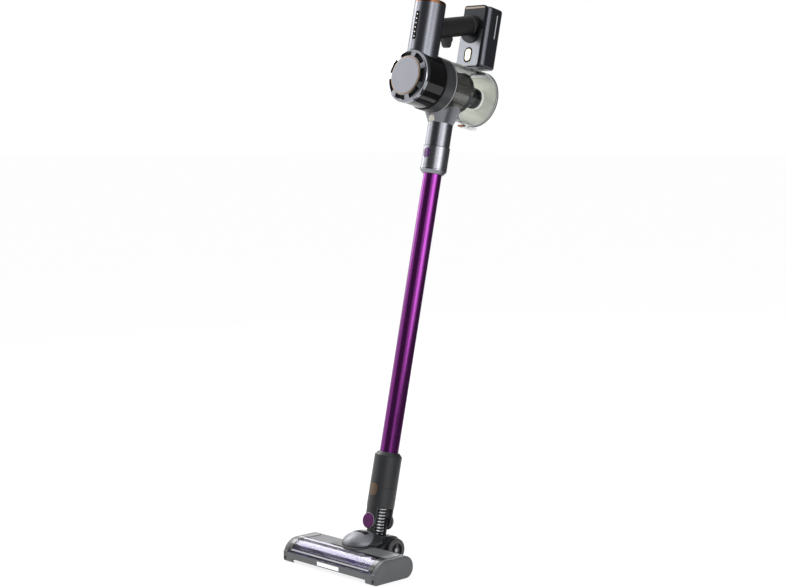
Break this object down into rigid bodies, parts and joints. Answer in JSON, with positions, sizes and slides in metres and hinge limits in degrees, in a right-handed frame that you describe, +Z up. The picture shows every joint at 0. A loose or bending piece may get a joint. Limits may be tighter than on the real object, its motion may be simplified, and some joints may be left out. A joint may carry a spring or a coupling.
{
  "type": "cordless stick vacuum",
  "caption": "Cordless stick vacuum: motorised floor head on a straight tube, cyclone barrel with clear dust cup, display column, pistol grip and slide-off battery.",
  "frame": {"origin": "on the floor, under the middle of the floor head's brush chamber", "axes": "+Z up, -Y towards the front of the floor head, +X to its right as seen from the front view along +Y; the tube leans back about X towards +Y"},
  "size_m": [0.2474, 0.4311, 1.0358],
  "materials": {
    "purple_tube": "anodised satin",
    "gunmetal": "metallic satin",
    "copper_trim": "metallic satin",
    "silver": "metallic satin",
    "black_gloss": "gloss",
    "black_matte": "matte",
    "dark_grey": "satin",
    "mid_grey": "satin",
    "button_grey": "satin",
    "button_gold": "satin",
    "purple_cap": "satin",
    "battery_grey": "metallic satin",
    "clear": "clear gloss",
    "shroud_mesh": "fine mesh",
    "cone_smoke": "translucent",
    "hose": "ribbed",
    "pile": "dense pile",
    "roller_core": "satin",
    "steel": "ground",
    "motor_can": "plated",
    "fan_white": "satin",
    "rubber": "matte",
    "filter_media": "pleated",
    "board_green": "satin",
    "cell_wrap": "wrapped"
  },
  "bodies": {
    "handheld": {"wand_tube": "purple_tube", "wand_collar": "gunmetal", "foot_collar": "dark_grey", "neck_socket": "dark_grey", "pivot_caps": "purple_cap", "neck_hose": "hose", "motor_shell": "black_gloss", "barrel_ring": "dark_grey", "suction_motor": "motor_can", "motor_mount": "rubber", "inlet_housing": "gunmetal", "column_shell": "gunmetal", "column_trim_ring": "copper_trim", "column_top_cap": "black_gloss", "led_window": "black_gloss", "control_board": "board_green", "handle_grip": "black_matte", "handle_core": "dark_grey", "trigger_pin": "steel", "battery_holder": "black_matte"},
    "filter_cap": {"filter_cap": "silver", "cap_face": "silver", "cap_trim_ring": "copper_trim", "exhaust_filter": "filter_media"},
    "fan": {"fan_rotor": "fan_white"},
    "dust_cup": {"dust_cup": "clear", "cyclone_shroud": "shroud_mesh", "shroud_skirt": "black_gloss", "cyclone_cone": "cone_smoke", "cone_hub": "black_gloss", "lid_hinge_pin": "steel"},
    "cup_lid": {"cup_lid": "clear", "lid_gasket": "rubber"},
    "lid_latch": {"lid_latch": "copper_trim"},
    "cup_button": {"cup_button": "button_grey"},
    "collar_button": {"collar_button": "purple_cap"},
    "neck_button": {"neck_button": "copper_trim"},
    "battery_button": {"battery_button": "button_gold"},
    "trigger": {"trigger": "mid_grey"},
    "battery": {"battery_case": "battery_grey", "battery_lid": "battery_grey", "battery_cells": "cell_wrap"},
    "yoke": {"yoke": "dark_grey"},
    "floor_head": {"head_base": "mid_grey", "head_cover": "mid_grey", "roller_window": "clear", "light_lens": "clear", "hood": "silver", "end_cap_left": "mid_grey", "end_cap_right": "mid_grey", "axle_stubs": "steel", "brush_motor": "motor_can", "drive_belt": "rubber"},
    "roller": {"brush_roller": "roller_core", "roller_strips": "pile"},
    "motor_pulley": {"motor_pulley": "roller_core"},
    "rear_wheel_left": {"rear_wheel_left": "dark_grey"},
    "rear_wheel_right": {"rear_wheel_right": "dark_grey"},
    "front_roller_left": {"front_roller_left": "dark_grey"},
    "front_roller_right": {"front_roller_right": "dark_grey"}
  },
  "joints": [
    {"name": "cap_twist", "type": "hinge", "parent": "handheld", "child": "filter_cap", "pos_m": [0, 0.14939, 0.89372], "axis": [0, 0.9762, -0.217], "range_deg": [0, 30]},
    {"name": "fan_spin", "type": "hinge", "parent": "handheld", "child": "fan", "pos_m": [0, 0.20112, 0.88222], "axis": [0, 0.9762, -0.217], "continuous": true},
    {"name": "cup_slide", "type": "slide", "parent": "handheld", "child": "dust_cup", "axis": [0, 0.9762, -0.217], "range_m": [0, 0.12]},
    {"name": "lid_swing", "type": "hinge", "parent": "dust_cup", "child": "cup_lid", "pos_m": [0, 0.34879, 0.90042], "axis": [1, 0, 0], "range_deg": [0, 95]},
    {"name": "latch_swing", "type": "hinge", "parent": "dust_cup", "child": "lid_latch", "pos_m": [0, 0.30675, 0.79974], "axis": [-1, 0, 0], "range_deg": [0, 10], "stiffness_Nm_per_rad": 0.3},
    {"name": "cup_button_press", "type": "slide", "parent": "handheld", "child": "cup_button", "axis": [0, 0.9762, -0.217], "range_m": [0, 0.002], "stiffness_N_per_m": 600},
    {"name": "collar_button_press", "type": "slide", "parent": "handheld", "child": "collar_button", "axis": [0, 0.9762, -0.217], "range_m": [0, 0.002], "stiffness_N_per_m": 600},
    {"name": "neck_button_press", "type": "slide", "parent": "handheld", "child": "neck_button", "axis": [0, 0.9762, -0.217], "range_m": [0, 0.002], "stiffness_N_per_m": 600},
    {"name": "battery_button_press", "type": "slide", "parent": "handheld", "child": "battery_button", "axis": [0, 0.9762, -0.217], "range_m": [0, 0.002], "stiffness_N_per_m": 600},
    {"name": "trigger_pull", "type": "hinge", "parent": "handheld", "child": "trigger", "pos_m": [0, 0.24702, 0.9738], "axis": [1, 0, 0], "range_deg": [0, 8], "stiffness_Nm_per_rad": 1.5},
    {"name": "battery_slide", "type": "slide", "parent": "handheld", "child": "battery", "axis": [0, 0.217, 0.9762], "range_m": [0, 0.125]},
    {"name": "neck_roll", "type": "hinge", "parent": "handheld", "child": "yoke", "pos_m": [0, 0.078, 0.0747], "axis": [0, 0.9762, -0.217], "range_deg": [-40, 40], "deforming": ["neck_hose"]},
    {"name": "head_pitch", "type": "hinge", "parent": "yoke", "child": "floor_head", "pos_m": [0, 0.096, 0.0215], "axis": [1, 0, 0], "range_deg": [0, 70]},
    {"name": "roller_spin", "type": "hinge", "parent": "floor_head", "child": "roller", "pos_m": [0, -0.024, 0.0182], "axis": [1, 0, 0], "continuous": true},
    {"name": "motor_pulley_spin", "type": "hinge", "parent": "floor_head", "child": "motor_pulley", "pos_m": [-0.09, 0.024, 0.0164], "axis": [1, 0, 0], "continuous": true},
    {"name": "left_wheel_spin", "type": "hinge", "parent": "floor_head", "child": "rear_wheel_left", "pos_m": [-0.0264, 0.096, 0.0215], "axis": [1, 0, 0], "continuous": true},
    {"name": "right_wheel_spin", "type": "hinge", "parent": "floor_head", "child": "rear_wheel_right", "pos_m": [0.0264, 0.096, 0.0215], "axis": [1, 0, 0], "continuous": true},
    {"name": "left_front_roller_spin", "type": "hinge", "parent": "floor_head", "child": "front_roller_left", "pos_m": [-0.118, -0.0426, 0.0049], "axis": [1, 0, 0], "continuous": true},
    {"name": "right_front_roller_spin", "type": "hinge", "parent": "floor_head", "child": "front_roller_right", "pos_m": [0.118, -0.0426, 0.0049], "axis": [1, 0, 0], "continuous": true}
  ],
  "couplings": [
    {"joint": "motor_pulley_spin", "follows": "roller_spin", "ratio": 1.5}
  ]
}
